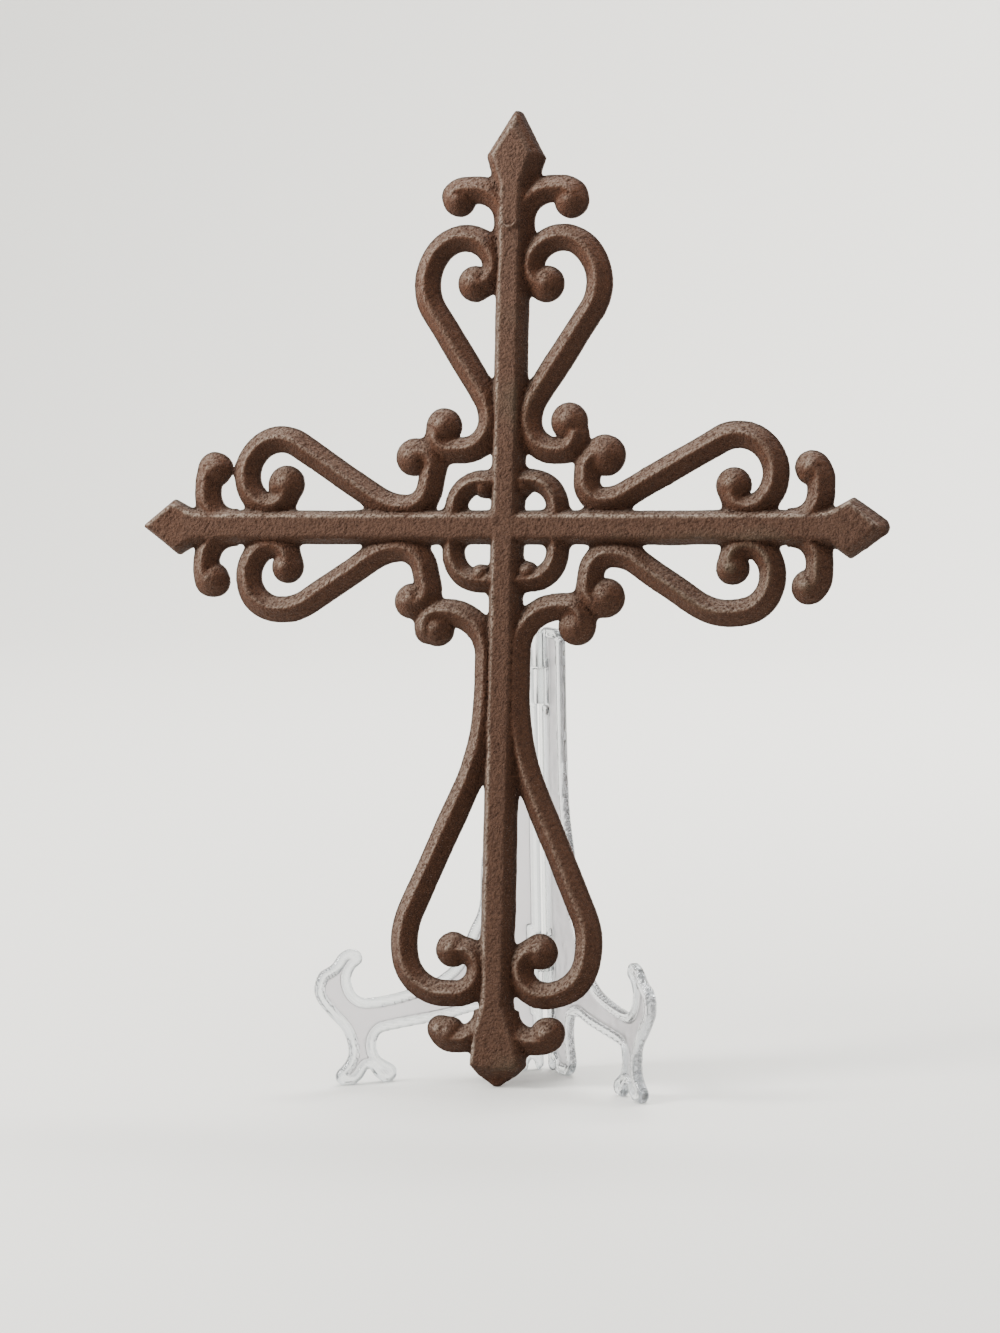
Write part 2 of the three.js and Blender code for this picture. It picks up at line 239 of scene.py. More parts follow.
def side_spring(start, rest):
    """Scroll beside the tip of a side arm."""
    return ScrollLine(start, 1, 0).left(11, 90).straight(rest).left(4.8, 80)


def bottom_spring():
    """Scroll beside the shield at the foot."""
    return ScrollLine(CROSSING_HEIGHT - BOTTOM_SPRING_HEIGHT, 3, 0).left(10, 90).straight(2).left(4.8, 70)


def scrolls_by_arm():
    """Every scroll with the directions that t and n take on its arm."""
    bulb_t = CROSSING_HEIGHT - BOTTOM_BULB_HEIGHT
    up, down, right, left = (0, 1), (0, -1), (1, 0), (-1, 0)
    right_upper = ScrollLine(78.7, 14.2, -112).left(5.3, 97).left(7.2, 60).left(13, 164.5).straight(37.5)
    right_upper.right(14, 29.5).right(6.5, 90).straight(3.3).right(5.5, 110)
    right_lower = ScrollLine(78.9, 13.4, -112).left(5.5, 97).left(6.8, 60).left(11.7, 45).straight(0.5)
    right_lower.left(11.7, 75).left(22, 48.5).straight(24.5)
    right_lower.right(16, 33.5).right(7, 83).straight(5).right(4.8, 110)
    left_upper = ScrollLine(79.8, 14.8, -112).left(5.3, 97).left(7.5, 60).left(12.1, 168).straight(33.8)
    left_upper.right(20, 33).right(8.5, 80).straight(6).right(5, 115)
    left_lower = ScrollLine(78.6, 13.4, -112).left(5.3, 97).left(7.5, 60).left(11.7, 130).left(18, 38.5)
    left_lower.straight(27.4).right(18, 33.5).right(9, 76).straight(6).right(5, 120)
    top_right = top_heart(ScrollLine(82.5, 12, -90), 34, 2)
    top_left = top_heart(ScrollLine(82.9, 13.3, -90).straight(1.4), 34.2, 4)
    bottom_right = bottom_heart(ScrollLine(bulb_t, 14.9, -90).straight(1), 5.9, 9, 0.2, 14.4, 3)
    bottom_left = bottom_heart(ScrollLine(bulb_t, 15.8, -90).straight(3.2), 6.5, 8.4, 4.1, 12.5, 2)
    return [
        (up, right, heart(top_right, 6.2, 6.4, 4.5, -1.6)),
        (up, right, spring(top_spring(3.5), 6, 1.4, 2)),
        (up, right, ring_quarter(17.7, 16.1, 14, 5.5)),
        (up, left, heart(top_left, 6.1, 6.2, 2.9, -1.4)),
        (up, left, spring(top_spring(4), 5.7, 0.1, 2.2)),
        (up, left, ring_quarter(18.5, 15.6, 13.5, 8.3)),
        (down, right, heart(bottom_right, 6, 6.3, 0.8, -1.5)),
        (down, right, spring(bottom_spring(), 5.9, -1.3, 1)),
        (down, right, ring_quarter(17.9, 17.8, 15, 7.6)),
        (down, left, heart(bottom_left, 6, 5.9, 0.6, -3.4)),
        (down, left, spring(bottom_spring(), 5.6, -2.3, 2.3)),
        (down, left, ring_quarter(19, 18.1, 16, 9)),
        (right, up, heart(right_upper, 6, 7, -1, -0.1)),
        (right, up, spring(side_spring(97.5, 4), 5.9, -1.2, 0.7)),
        (right, down, heart(right_lower, 5.7, 6.7, 0.3, -1.6)),
        (right, down, spring(side_spring(97.4, 4), 5.8, -0.8, 1)),
        (left, up, heart(left_upper, 6.5, 6.4, 1, -1.1)),
        (left, up, spring(side_spring(97.5, 4), 6.1, -1.8, 0.4)),
        (left, down, heart(left_lower, 5.7, 6, -0.3, -0.8)),
        (left, down, spring(side_spring(97.5, 2.5), 6.1, -2, 0.9)),
    ]


def polygon_distance(x, y, corners):
    """Signed distance to a closed polygon, negative inside: nearest edge, sign by crossings."""
    corners = np.asarray(corners, float)
    nearest = np.full(x.shape, 1e6)
    inside = np.zeros(x.shape, bool)
    for (x0, y0), (x1, y1) in zip(corners, np.roll(corners, -1, 0)):
        ex, ey = x1 - x0, y1 - y0
        along = np.clip(((x - x0) * ex + (y - y0) * ey) / (ex * ex + ey * ey), 0, 1)
        nearest = np.minimum(nearest, np.hypot(x - x0 - along * ex, y - y0 - along * ey))
        if ey:
            inside ^= ((y0 > y) != (y1 > y)) & (x < x0 + ex * (y - y0) / ey)
    return np.where(inside, -nearest, nearest)


def mitred_distance(x, y, corners):
    """Greatest distance beyond the edges of a convex polygon, anticlockwise: its offsets keep corners."""
    far = np.full(x.shape, -1e6)
    for (x0, y0), (x1, y1) in zip(corners, np.roll(corners, -1, 0)):
        length = math.hypot(x1 - x0, y1 - y0)
        far = np.maximum(far, ((x - x0) * (y1 - y0) - (y - y0) * (x1 - x0)) / length)
    return far


def roof(x, roundness):
    """Section with straight flanks and a rounded ridge: a hyperbola, 1 on the ridge and 0 at x = 1."""
    fall = np.sqrt(x * x + roundness**2) - roundness
    return 1 - fall / (math.sqrt(1 + roundness**2) - roundness)


def filtered_noise(shape, spacing, coarsest, finest, seed):
    """Random relief with wavelengths between two lengths, of unit spread: white noise cut in frequency."""
    white = np.random.default_rng(seed).standard_normal(shape)
    fy = np.fft.fftfreq(shape[0], spacing)[:, None]
    fx = np.fft.rfftfreq(shape[1], spacing)[None, :]
    frequency = np.hypot(fx, fy)
    band = np.exp(-(frequency * finest) ** 2) * (1 - np.exp(-(frequency * coarsest) ** 2))
    noise = np.fft.irfft2(np.fft.rfft2(white) * band, shape)
    return noise / noise.std()


def blurred(field, spacing, width):
    """The field under a Gaussian of that standard deviation, by way of its spectrum."""
    fy = np.fft.fftfreq(field.shape[0], spacing)[:, None]
    fx = np.fft.rfftfreq(field.shape[1], spacing)[None, :]
    kept = np.exp(-2 * (np.pi * width) ** 2 * (fx**2 + fy**2))
    return np.fft.irfft2(np.fft.rfft2(field) * kept, field.shape)


def bar_fields(across, along, begin, end, face_half, relief):
    """Outline distance and height of a straight bar.

    The distance is how far a point lies beyond the nearer flank or end. The height is the flat face,
    or the wall plus a straight slope up from the outline where that is lower, rounded between them.
    """
    outline = np.maximum(np.abs(across) - BAR_HALF, np.maximum(begin - along, along - end))
    slope = (relief - BAR_WALL) / (BAR_HALF - face_half)
    height = smooth_min(np.full_like(across, relief), BAR_WALL - slope * outline, 0.4)
    return outline, height


def plate_fields(u, v, outline, faces, relief, wall):
    """Outline distance and height of a faceted tip.

    Round each flat face the height falls by its slope times the mitred distance from the face. The
    highest of these and the wall is taken, and it drops steeply beyond the outline.
    """
    edge = polygon_distance(u, v, outline)
    height = np.full_like(u, wall)
    for face, slope in faces:
        bevel = relief - slope * mitred_distance(u, v, face)
        height = np.maximum(height, smooth_min(np.full_like(u, relief), bevel, 0.3))
    return edge, smooth_min(height, wall - 4 * edge, 0.4)


def cross_fields(u, v):
    """Signed outline distance and height of the casting: the union of bars, tips, scrolls and bulbs.

    The distance is the least of the pieces' own, rounded where they meet, and the height is the
    greatest. A scroll rises from its wall to its ridge by the roof section. A bulb's crown falls
    with the 2.1th power of the share of its radius, and a larger bulb has a small bell-shaped nub.
    """
    c = CROSSING_HEIGHT
    pieces = [
        bar_fields(u, v, UPRIGHT_FOOT, CROSS_HEIGHT - SPEARHEAD_ZONE, UPRIGHT_FACE_HALF, BAR_RELIEF),
        bar_fields(v - c, u, ARM_TIP_ZONE - ARM_REACH, ARM_REACH - ARM_TIP_ZONE,
                   CROSSBAR_FACE_HALF, CROSSBAR_RELIEF),
        plate_fields(
            u, v,
            [(-5.6, 286), (5.6, 286), (5.8, 300), (8.2, 306.6), (10.7, 313.8), (1.9, 329.6), (0.6, 330.6),
             (-0.5, 329.6), (-10, 314.7), (-7.8, 306.4), (-5.7, 300)],
            [([(0.9, 325.2), (-6.1, 314.6), (-3.2, 305.5), (3.3, 305.5), (6.4, 315)], 1.4),
             ([(-3.2, 308), (-2.8, 291), (2.8, 291), (3.2, 308)], 1.9)],
            7.4, 1.8,
        ),
        plate_fields(
            u, v,
            [(-108, c + 5.6), (-112.6, c + 6), (-120.3, c + 9.8), (-131.9, c + 0.5), (-118.4, c - 9.5),
             (-112.6, c - 6), (-108, c - 5.6)],
            [([(-119.8, c + 7.7), (-129.2, c + 0.5), (-118.4, c - 7.5), (-113, c - 4.4),
               (-113, c + 4.6)], 2.2),
             ([(-104, c + 3.9), (-114, c + 4.2), (-114, c - 4.1), (-104, c - 3.9)], 2.4)],
            6.6, 2.0,
        ),
        plate_fields(
            u, v,
            [(108, c + 5.6), (112.6, c + 6), (119.9, c + 10.2), (131.1, c + 2.2), (131.9, c),
             (131.1, c - 1.9), (119, c - 10.4), (112.6, c - 6), (108, c - 5.6)],
            [([(119.4, c + 7.9), (113, c + 4.7), (113, c - 4.7), (118.6, c - 8.1), (128.8, c)], 2.0),
             ([(114, c + 4.3), (104, c + 3.9), (104, c - 3.9), (114, c - 4.3)], 2.4)],
            6.8, 2.0,
        ),
        plate_fields(
            u, v,
            [(-5.6, 28), (-8.2, 11.4), (-8.8, 7), (-5.6, 3.6), (0.6, -0.4), (7, 3.4), (10.7, 6.8),
             (10.4, 11.4), (5.6, 28)],
            [([(-3.2, 28), (-6.9, 11), (-7, 7.2), (0.8, 6.4), (8.4, 7), (8.2, 11), (3.2, 28)], 1.25)],
            6.8, 1.4,
        ),
    ]
    edge, height = pieces[0]
    for outline, relief in pieces[1:]:
        edge = smooth_min(edge, outline, 1.2)
        height = smooth_max(height, relief, 0.3)
    for (tu, tv), (nu, nv), (line, half, bulbs) in scrolls_by_arm():
        t = u * tu + (v - c) * tv
        n = u * nu + (v - c) * nv
        outside = line.distance(t, n) - half
        section = roof(np.clip(1 + outside / half, 0, 3), RIDGE_ROUNDNESS)
        ridge = SCROLL_WALL + (SCROLL_RIDGE - SCROLL_WALL) * section
        for bulb_t, bulb_n, radius in bulbs:
            away = np.hypot(t - bulb_t, n - bulb_n)
            outside = smooth_min(outside, away - radius, 0.8)
            crown = BULB_WALL + (BULB_CROWN - BULB_WALL) * (1 - (away / radius) ** 2.1)
            nub = NUB_HEIGHT * smooth_step(radius, RING_BULB, NUB_FULL_RADIUS)
            crown = crown + nub * np.exp(-((away / (NUB_SHARE * radius)) ** 2))
            ridge = smooth_max(ridge, np.maximum(crown, -4), 0.4)
        edge = smooth_min(edge, outside, OUTLINE_FILLET)
        height = smooth_max(height, ridge, RELIEF_FILLET)
    return edge, height


def cut_grid(x, y, edge):
    """Triangles of a grid inside edge < 0, cut along edge = 0 on each triangle's sides.

    Returns for each vertex two grid nodes and the share between them, then triangles and rim edges.
    """
    rows, columns = edge.shape
    node = np.arange(rows * columns).reshape(rows, columns)
    a, b, c, d = node[:-1, :-1], node[:-1, 1:], node[1:, 1:], node[1:, :-1]
    halves = [np.stack([a, b, c], -1), np.stack([a, c, d], -1)]
    triangles = np.concatenate([half.reshape(-1, 3) for half in halves])
    field = edge.ravel()
    field = np.where(np.abs(field) < 0.03, -0.03, field)
    count = (field[triangles] < 0).sum(1)
    whole = triangles[count == 3]

    def turned_to(selected, wanted_inside):
        """Each triangle turned so that its odd corner comes first."""
        odd = np.argmax((field[selected] < 0) == wanted_inside, 1)
        order = (odd[:, None] + np.arange(3)) % 3
        return np.take_along_axis(selected, order, 1)

    one = turned_to(triangles[count == 1], True)
    two = turned_to(triangles[count == 2], False)
    cuts = np.concatenate([one[:, [0, 1]], one[:, [0, 2]], two[:, [0, 1]], two[:, [0, 2]]])
    cuts = np.sort(cuts, 1)
    pairs, index = np.unique(cuts, axis=0, return_inverse=True)
    index = index.ravel() + field.size
    ones = len(one)
    twos = len(two)
    one_ab, one_ac = index[:ones], index[ones:2 * ones]
    two_ab, two_ac = index[2 * ones:2 * ones + twos], index[2 * ones + twos:]
    faces = np.concatenate([
        whole,
        np.stack([one[:, 0], one_ab, one_ac], 1),
        np.stack([two_ab, two[:, 1], two[:, 2]], 1),
        np.stack([two_ab, two[:, 2], two_ac], 1),
    ])
    rims = np.concatenate([np.stack([one_ab, one_ac], 1), np.stack([two_ac, two_ab], 1)])
    first = np.concatenate([np.arange(field.size), pairs[:, 0]])
    second = np.concatenate([np.arange(field.size), pairs[:, 1]])
    share = field[pairs[:, 0]] / (field[pairs[:, 0]] - field[pairs[:, 1]])
    share = np.concatenate([np.zeros(field.size), share])
    used, compact = np.unique(faces, return_inverse=True)
    renumber = np.zeros(first.size, int)
    renumber[used] = np.arange(used.size)
    return (first[used], second[used], share[used]), compact.reshape(-1, 3), renumber[rims]


def sample(field, vertices):
    """A grid field at the cut grid's vertices, straight between the two nodes of each."""
    first, second, share = vertices
    flat = field.ravel()
    return flat[first] * (1 - share) + flat[second] * share


def mesh_object(name, points, faces, attributes, sharp_angle):
    """Mesh object from arrays in millimetres, smooth-shaded with sharp edges past an angle."""
    mesh = bpy.data.meshes.new(name)
    mesh.from_pydata((np.asarray(points) * MM).tolist(), [], np.asarray(faces).tolist())
    mesh.update()
    mesh.shade_smooth()
    mesh.set_sharp_from_angle(angle=math.radians(sharp_angle))
    for key, values in attributes.items():
        layer = mesh.attributes.new(key, "FLOAT", "POINT")
        layer.data.foreach_set("value", np.asarray(values, np.float32))
    piece = bpy.data.objects.new(name, mesh)
    bpy.context.scene.collection.objects.link(piece)
    return piece


def closed_slab(faces, rims, count):
    """Faces of a front, the same faces turned over behind it, and a wall round every rim."""
    front, back = rims, rims + count
    wall = [
        np.stack([front[:, 1], front[:, 0], back[:, 0]], 1),
        np.stack([front[:, 1], back[:, 0], back[:, 1]], 1),
    ]
    return np.concatenate([faces, faces[:, ::-1] + count, *wall])


def place_on_cross(u, v, w):
    """Points of the leaning cross in the row frame: turned back by the lean about its tip."""
    s, c = math.sin(LEAN), math.cos(LEAN)
    return np.stack([u, v * s - w * c + TIP_Y, v * c + w * s], 1)


def make_cross():
    """Casting: height over the cut grid, with sand grain, wavering outlines and a flat back.

    The outline and height are read at places shifted by slow noise. The web between close outlines
    rises slightly inwards. convex is the height less its mean over 1.5 mm of iron round it, and the
    facing attribute is how far the surface turns to the light at the upper left. The material reads
    both, with the level, the grain and the distance inwards from the outline: it lightens rubbed
    ridges, more where they face that light, as wear and painted highlight, and paints shade in the
    hollows, on the sides turned from the light and along the outline.
    """
    u, v = np.meshgrid(
        np.arange(-ARM_REACH - 2, ARM_REACH + 2, CROSS_GRID),
        np.arange(-2, CROSS_HEIGHT + 2, CROSS_GRID),
    )
    waver_u = filtered_noise(u.shape, CROSS_GRID, *WAVER_BAND, 11) * CAST_WAVER
    waver_v = filtered_noise(u.shape, CROSS_GRID, *WAVER_BAND, 12) * CAST_WAVER
    edge, height = cross_fields(u + waver_u, v + waver_v)
    edge_grain = filtered_noise(u.shape, CROSS_GRID, *EDGE_BAND, 13)
    flash = smooth_step(filtered_noise(u.shape, CROSS_GRID, *FLASH_BAND, 16), 1.1, 1.7)
    edge = edge + edge_grain * (EDGE_GRAIN + FLASH_DEPTH * flash)
    outer = np.maximum(np.abs(u) - ARM_REACH + 0.1, np.maximum(0.05 - v, v - CROSS_HEIGHT + 0.4))
    edge = np.maximum(edge, outer)
    web = 1.3 + 0.35 * np.minimum(-edge, 2.5)
    height = np.maximum(height, web)
    raised = raised_details(u, v)
    height = height + raised
    soft = blurred(np.where(edge < 0, height, 0), CROSS_GRID, 1.5)
    covered = blurred(np.where(edge < 0, 1.0, 0), CROSS_GRID, 1.5)
    # convex: the height over its surroundings, low in hollows where the material paints shade, high on
    # ridges it lightens as wear
    convex = height - soft / np.maximum(covered, 0.2) + np.maximum(raised, 0)
    fall_v, fall_u = np.gradient(blurred(height, CROSS_GRID, 0.7), CROSS_GRID)
    # slope towards the upper-left light, which the material uses for painted shade and painted highlight
    shade = (0.8 * fall_u - 1.2 * fall_v) / np.sqrt(2 + fall_u**2 + fall_v**2)
    grain = filtered_noise(u.shape, CROSS_GRID, *GRAIN_BAND, 14)
    grain = grain + 0.5 * filtered_noise(u.shape, CROSS_GRID, *MOTTLE_BAND, 15)
    height = height + GRAIN_DEPTH * grain * smooth_step(-edge, 0, 1.0)
    vertices, faces, rims = cut_grid(u, v, edge)
    pu, pv = sample(u, vertices), sample(v, vertices)
    pw = np.maximum(sample(height, vertices), LOWEST_HEIGHT)
    points = np.concatenate([place_on_cross(pu, pv, pw), place_on_cross(pu, pv, np.zeros_like(pw))])
    wear_and_hollow_shade = np.clip(sample(convex, vertices), -3, 3)
    level = sample(height, vertices)
    grit = sample(grain, vertices)
    inset = np.clip(sample(-edge, vertices), 0, 4)
    lit = sample(shade, vertices)
    attributes = {
        "convex": np.concatenate([wear_and_hollow_shade, np.zeros_like(wear_and_hollow_shade)]),
        "level": np.concatenate([level, np.full_like(level, 3.0)]),
        "grit": np.concatenate([grit, np.zeros_like(grit)]),
        "inset": np.concatenate([inset, np.full_like(inset, 4.0)]),
        "painted_light_side": np.concatenate([lit, np.zeros_like(lit)]),
    }
    return mesh_object("scrollwork_cross", points, closed_slab(faces, rims, len(pu)), attributes, 50)


def raised_details(u, v):
    """Casting marks in relief, each a bell-shaped rise or groove round its line.

    They are a hairline on the right arm, the lip under the top spearhead's tail with a groove inside
    it, and a low step down at the left tip.
    """
    hairline = ScrollLine(0, 0, 0)
    hairline.parts.append(("straight", (82.5, 189.2), (90, 184)))
    hairline.t, hairline.n = 90, 184
    line = 0.35 * np.exp(-(hairline.distance(u, v) / 0.45) ** 2)
    lip_radius = np.hypot(u + 0.1, v - 293.2)
    lip = 1.3 * np.exp(-((lip_radius - 3.6) / 0.6) ** 2) * smooth_step(292.2 - v, 0, 1)
    lip = lip - 0.4 * np.exp(-((lip_radius - 2.3) / 0.5) ** 2) * smooth_step(292 - v, 0, 1)
    step = 0.25 * smooth_step(-115.5 - u, -0.4, 0.4) * smooth_step(7 - np.abs(v - CROSSING_HEIGHT), 0, 1)
    return line + lip - step


def curve_through(points, steps=6):
    """Catmull-Rom curve through points, its ends led by their own first and last stretch."""
    points = np.asarray(points, float)
    padded = np.vstack([2 * points[0] - points[1], points, 2 * points[-1] - points[-2]])
    p0, p1, p2, p3 = padded[:-3, None], padded[1:-2, None], padded[2:-1, None], padded[3:, None]
    t = (np.arange(steps) / steps)[None, :, None]
    curve = 0.5 * (2 * p1 + (p2 - p0) * t + (2 * p0 - 5 * p1 + 4 * p2 - p3) * t**2
                   + (3 * p1 - p0 - 3 * p2 + p3) * t**3)
    return np.vstack([curve.reshape(-1, 2), points[-1:]])


def arc(cx, cy, radius, start, end, steps=10):
    """Points of an arc between two angles in degrees."""
    angle = np.radians(np.linspace(start, end, steps))
    return np.stack([cx + radius * np.cos(angle), cy + radius * np.sin(angle)], 1)


def easel_outline():
    """Outline of a side: rear foot, underside of the arm, front foot, hook, arm and upright."""
    top = EASEL_HEIGHT
    stretches = [
        [(8.2, 0)],
        arc(15.3, 5.2, 5.2, -90, 6),
        curve_through([(20.5, 5.7), (19.3, 11), (18.9, 15.5), (20.6, 20.6), (27, 21.7), (34.4, 20.3),
                       (42.8, 19.2), (56, 17.7), (60.6, 16.6), (62.2, 13), (61, 9), (57.4, 6.4)]),
        arc(58.2, 3.2, 3.2, 108, 270),
        curve_through([(59.8, 0), (62.3, 2), (64.9, 5), (67.4, 2), (70, 0)]),
        arc(73.6, 2.8, 2.8, -90, 45),
        curve_through([(75.6, 4.8), (72.4, 8.2), (71.6, 12), (73.4, 18.2), (78.4, 24.2), (82.4, 29.6),
                       (83.1, 34), (81.2, 38.6), (76.8, 41.2), (74, 44.6), (70.4, 46.1), (67.2, 45),
                       (66.6, 41.8), (69.4, 39.2), (70.6, 35.6), (68.9, 31), (64.6, 29), (55, 29.8),
                       (45, 32), (38.6, 34.7), (32.6, 39.6), (27.6, 49.6), (23.8, 58), (22.6, 74),
                       (18.3, 92), (UPRIGHT_WIDTH, 118), (UPRIGHT_WIDTH, top - 5)]),
        arc(UPRIGHT_WIDTH - 5, top - 5.05, 5, 0, 90),
        arc(HINGE_EDGE + 3, top - 3.05, 3, 90, 180),
        [(HINGE_EDGE, 1.6), (3.4, 0), (4.2, 0)],
        curve_through([(4.2, 0.1), (5.2, 3), (6.4, 3.6), (7.4, 2.6), (8.1, 0.2)]),
    ]
    return np.vstack([np.asarray(stretch, float) for stretch in stretches])


def lathe(profile, sides):
    """Closed shell turned about the hinge line: profile points (radius, z) carried round a circle."""
    angle = np.arange(sides) * 2 * np.pi / sides
    radius, z = np.asarray(profile, float).T
    points = np.stack([
        radius[:, None] * np.cos(angle),
        radius[:, None] * np.sin(angle),
        np.repeat(z[:, None], sides, 1),
    ], -1).reshape(-1, 3)
    ring = np.arange(len(profile))[:, None] * sides
    turn = np.arange(sides)[None, :]
    following = (turn + 1) % sides
    above = np.roll(ring, -1, 0)
    quads = np.stack([ring + turn, ring + following, above + following, above + turn], -1).reshape(-1, 4)
    return points, np.concatenate([quads[:, [0, 1, 2]], quads[:, [0, 2, 3]]])


def knuckle(foot):
    """Hinge barrel: a tube with rounded lips, as a closed ring profile, outside up and inside down."""
    lip = 0.5
    top = foot + KNUCKLE_LENGTH
    outer = np.vstack([
        arc(KNUCKLE_RADIUS - lip, foot + lip, lip, -90, 0, 4),
        arc(KNUCKLE_RADIUS - lip, top - lip, lip, 0, 90, 4),
    ])
    inner = [(PIN_BORE, top), (PIN_BORE, foot)]
    return lathe(np.vstack([outer, inner]), 40)


def make_easel_side(name, angle, own_feet, other_feet):
    """Side panel: thin web with a rounded bead along its outline, and its hinge barrels.

    The half thickness rises from the edge by a quarter circle to the bead's crest, which has a fine
    groove along it, and steps down to the web. Feet and hook are a little thicker. frosted is 1 on
    the web, and the slope attribute is the slope of the surface, which the material turns into painted
    dark lines along the bead.
    """
    s, z = np.meshgrid(np.arange(0, 85, EASEL_GRID), np.arange(-1.5, EASEL_HEIGHT + 1.5, EASEL_GRID))
    edge = polygon_distance(s, z, easel_outline())
    for feet, reach, margin in ((own_feet, 3.05, -0.4), (other_feet, KNUCKLE_RADIUS, KNUCKLE_CLEARANCE)):
        for foot in feet:
            middle = foot + KNUCKLE_LENGTH / 2
            gap = np.maximum(s - reach - max(margin, 0), np.abs(z - middle) - KNUCKLE_LENGTH / 2 - margin)
            edge = smooth_max(edge, -gap, 0.3)
    depth = -edge
    bead = 1 - smooth_step(depth, RIM_WIDTH - 0.7, RIM_WIDTH)
    crest = EDGE_HALF_THICKNESS + (RIM_HALF_THICKNESS - EDGE_HALF_THICKNESS) * np.sqrt(
        1 - (1 - np.clip(depth / 1.1, 0, 1)) ** 2
    )
    crest = crest - 0.35 * np.exp(-(((depth - 1.7) / 0.45) ** 2))
    foot = np.maximum(smooth_step(s, 73, 76), smooth_step(s, 52, 56) * smooth_step(18 - z, 0, 4))
    crest = crest + FOOT_EXTRA * foot * smooth_step(depth, 0.1, 1.3)
    half = WEB_HALF_THICKNESS + (crest - WEB_HALF_THICKNESS) * bead
    ripple = filtered_noise(s.shape, EASEL_GRID, 12, 4, 21) * 0.03
    half = half + ripple * smooth_step(depth, 1, 4)
    vertices, faces, rims = cut_grid(s, z, edge)
    ps, pz, ph = sample(s, vertices), sample(z, vertices), sample(half, vertices)
    web = sample(1 - bead, vertices)
    rise_z, rise_s = np.gradient(half, EASEL_GRID)
    slope = sample(np.clip(np.hypot(rise_z, rise_s) / 1.2, 0, 1), vertices)
    count = len(ps)
    points = np.concatenate([np.stack([ps, -ph, pz], 1), np.stack([ps, ph, pz], 1)])
    faces = closed_slab(faces, rims, count)
    frosted = np.concatenate([web, web])
    painted_line_slope = np.concatenate([slope, slope])
    for foot in own_feet:
        barrel_points, barrel_faces = knuckle(foot)
        faces = np.concatenate([faces, barrel_faces + len(points)])
        points = np.concatenate([points, barrel_points])
        frosted = np.concatenate([frosted, np.zeros(len(barrel_points))])
        painted_line_slope = np.concatenate([painted_line_slope, np.zeros(len(barrel_points))])
    cosine, sine = math.cos(math.radians(angle)), math.sin(math.radians(angle))
    x = points[:, 0] * cosine - points[:, 1] * sine + HINGE_X
    y = points[:, 0] * sine + points[:, 1] * cosine + HINGE_Y
    placed = np.stack([x, y, np.maximum(points[:, 2], 0)], 1)
    return mesh_object(name, placed, faces, {"frosted": frosted, "painted_line_slope": painted_line_slope}, 60)


def make_pin():
    """Hinge pin: a thin rod with rounded ends, closed on its own axis by two tiny rings."""
    low, high = pin_low[2] + 0.05, pin_high[2] - 0.05
    profile = np.vstack([
        [(0.02, low)],
        arc(PIN_RADIUS - 0.5, low + 0.5, 0.5, -90, 0, 5),
        arc(PIN_RADIUS - 0.5, high - 0.5, 0.5, 0, 90, 5),
        [(0.02, high)],
    ])
    sides = 28
    points, faces = lathe(profile, sides)
    points = points + np.array([HINGE_X, HINGE_Y, 0])
    return mesh_object("hinge_rod", points, faces, {}, 60)


def linear(hexadecimal):
    """Linear colour of an sRGB colour written as RRGGBB."""
    channels = [int(hexadecimal[i:i + 2], 16) / 255 for i in (0, 2, 4)]
    return (*[x / 12.92 if x <= 0.04045 else ((x + 0.055) / 1.055) ** 2.4 for x in channels], 1)


class Nodes:
    """Short calls for a material's node tree."""

    def __init__(self, name):
        self.material = bpy.data.materials.new(name)
        self.material.use_nodes = True
        self.tree = self.material.node_tree
        self.shader = self.tree.nodes["Principled BSDF"]

    def add(self, kind, inputs=(), **settings):
        node = self.tree.nodes.new(kind)
        for key, value in settings.items():
            setattr(node, key, value)
        for key, value in dict(inputs).items():
            if isinstance(value, bpy.types.NodeSocket):
                self.tree.links.new(value, node.inputs[key])
            else:
                node.inputs[key].default_value = value
        return node

    def link(self, output, name):
        self.tree.links.new(output, self.shader.inputs[name])

    def attribute(self, name):
        return self.add("ShaderNodeAttribute", attribute_name=name).outputs["Fac"]

    def noise(self, scale, detail, coordinates, roughness=0.55):
        inputs = {"Vector": coordinates, "Scale": scale, "Detail": detail, "Roughness": roughness}
        return self.add("ShaderNodeTexNoise", inputs).outputs["Fac"]

    def between(self, value, low, high):
        """Value mapped so that low gives 0 and high gives 1, held between them."""
        inputs = {"Value": value, "From Min": low, "From Max": high}
        return self.add("ShaderNodeMapRange", inputs).outputs["Result"]

    def times(self, a, b):
        node = self.add("ShaderNodeMath", {0: a, 1: b}, operation="MULTIPLY")
        return node.outputs[0]

    def plus(self, a, b):
        node = self.add("ShaderNodeMath", {0: a, 1: b}, operation="ADD")
        return node.outputs[0]

    def mix(self, share, a, b):
        node = self.add("ShaderNodeMix", data_type="RGBA")
        for key, value in ((0, share), (6, a), (7, b)):
            if isinstance(value, bpy.types.NodeSocket):
                self.tree.links.new(value, node.inputs[key])
            else:
                node.inputs[key].default_value = value
        return node.outputs[2]


